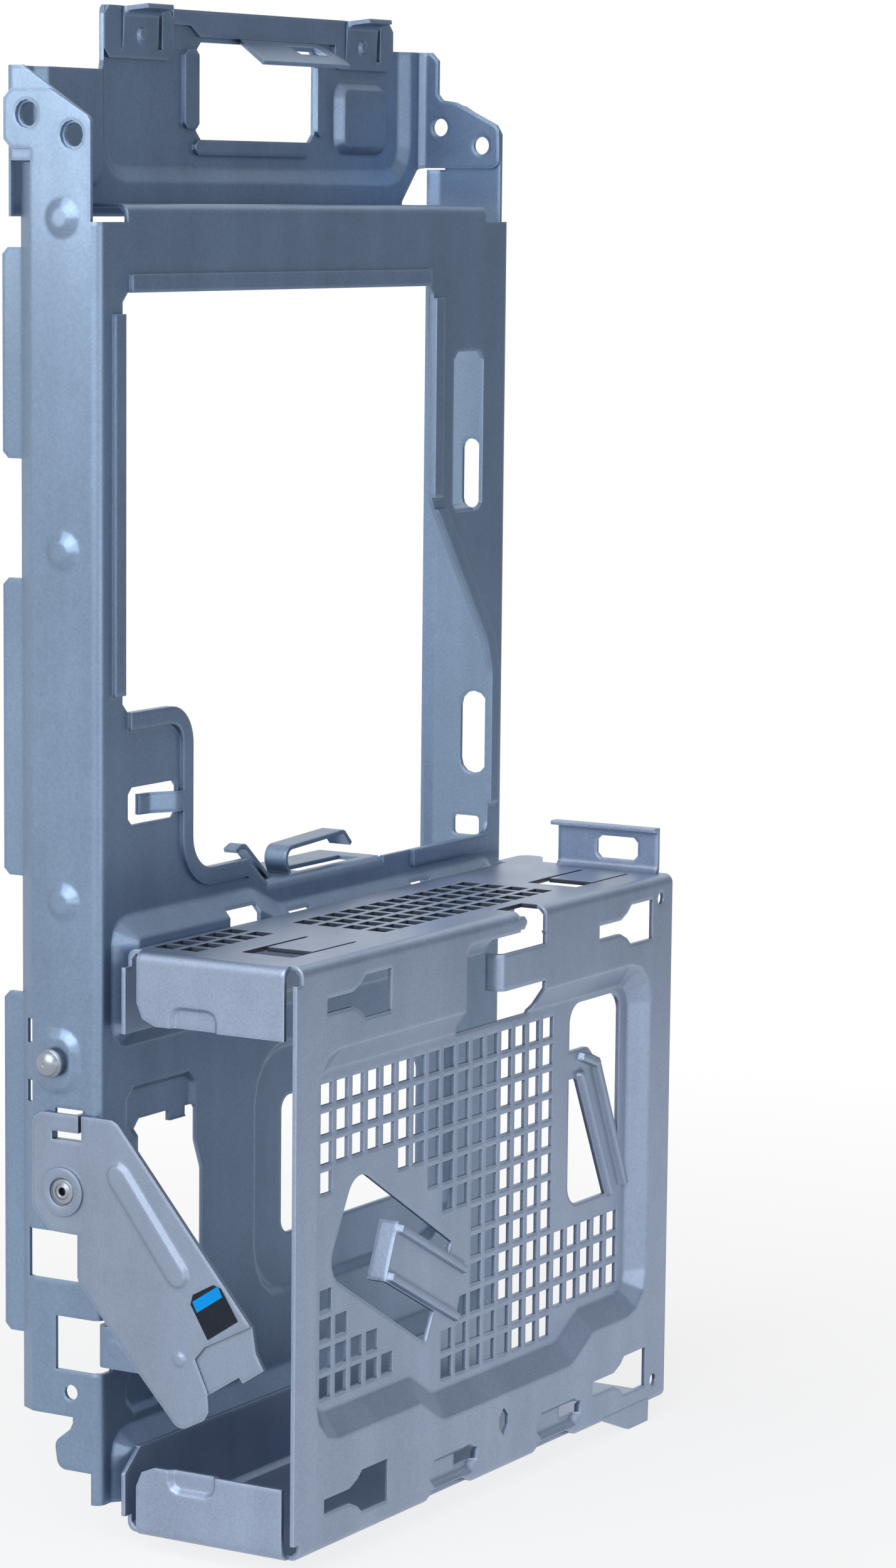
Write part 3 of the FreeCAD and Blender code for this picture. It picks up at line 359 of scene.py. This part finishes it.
def lamp(name, place, target, size, power, colour, spread=180.0):
    """A soft square lamp aimed at a point, with its beam's width in degrees."""
    data = bpy.data.lights.new(name, "AREA")
    data.size = size
    data.energy = power
    data.color = colour
    data.spread = math.radians(spread)
    body = bpy.data.objects.new(name, data)
    body.location = place
    body.rotation_euler = (Vector(target) - Vector(place)).to_track_quat("-Z", "Y").to_euler()
    SCENE.collection.objects.link(body)


def camera():
    """The photograph's viewpoint."""
    data = bpy.data.cameras.new("camera")
    data.lens = 107.06
    data.sensor_width = 36.0
    data.shift_x = 0.0439
    data.shift_y = 0.0628
    data.clip_start = 0.05
    body = bpy.data.objects.new("camera", data)
    body.location = CAMERA_PLACE
    body.rotation_euler = Euler([math.radians(turn) for turn in CAMERA_TURN], "XYZ")
    SCENE.collection.objects.link(body)
    SCENE.camera = body


def paint():
    """Give every CAD node its finish, and return the one for turned pieces."""
    sheet = galvanised("frame_sheet", FRAME_COLOUR, 0.36)
    plated = galvanised("plated_steel", PLATED_COLOUR, 0.26, grain=0.1, metallic=0.9)
    finishes = {
        "main_frame": sheet,
        "upper_bracket": sheet,
        # The cage's top plate gets painted shade on the walls of its holes.
        "drive_cage": galvanised("cage_sheet", CAGE_COLOUR, 0.36, paint_hole_shade=True),
        "latch_lever": galvanised("lever_sheet", LEVER_COLOUR, 0.47, grain=0.7),
        "lever_pivot": plated,
        "guide_stud": plated,
        "lever_tag": tag_print(),
    }
    for name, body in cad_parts.items():
        body.data.materials.clear()
        body.data.materials.append(finishes[name])
    return plated


def turned(name, place, profile, finish):
    """A turned piece with a profile in millimetres, standing out to the left of a place."""
    shape = bmesh.new()
    spots = [shape.verts.new((-out / 1000, radius / 1000, 0)) for radius, out in profile]
    edges = [shape.edges.new(pair) for pair in zip(spots, spots[1:])]
    bmesh.ops.spin(
        shape, geom=spots + edges, axis=(1, 0, 0), cent=(0, 0, 0), angle=math.tau, steps=TURN_STEPS)
    bmesh.ops.remove_doubles(shape, verts=shape.verts, dist=WELD)
    bmesh.ops.recalc_face_normals(shape, faces=shape.faces)
    for face in shape.faces:
        face.smooth = True
    for edge in shape.edges:
        edge.smooth = edge.is_boundary or edge.calc_face_angle(0.0) < SHARP
    mesh = bpy.data.meshes.new(name)
    shape.to_mesh(mesh)
    shape.free()
    mesh.materials.append(finish)
    piece = bpy.data.objects.new(name, mesh)
    piece.location = place
    SCENE.collection.objects.link(piece)
    return piece


def turned_pieces(finish):
    """The stud's domed head with its collar, and the rolled eyelet in the lever's pivot."""
    stud = turned("stud_turned", STUD, STUD_PROFILE, finish)
    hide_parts("guide_stud")
    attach(stud, "frame")
    eyelet = turned("pivot_eyelet", EYELET, EYELET_PROFILE, finish)
    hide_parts("lever_pivot")
    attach(eyelet, "frame")


turned_pieces(paint())
surround()
floor()
lamp("key", (-1.5, -0.1, 1.15), (0, 0, 0.15), size=1.8, power=30.0, colour=COOL)
lamp("front", (-0.3, -1.2, 0.12), (0, 0, 0.08), size=0.7, power=3.0, colour=COOL)
lamp("sheen", (-1.1, 0.72, 0.45), (-0.08, 0.02, 0.43), size=0.2, power=0.03, colour=WARM, spread=10.0)
camera()
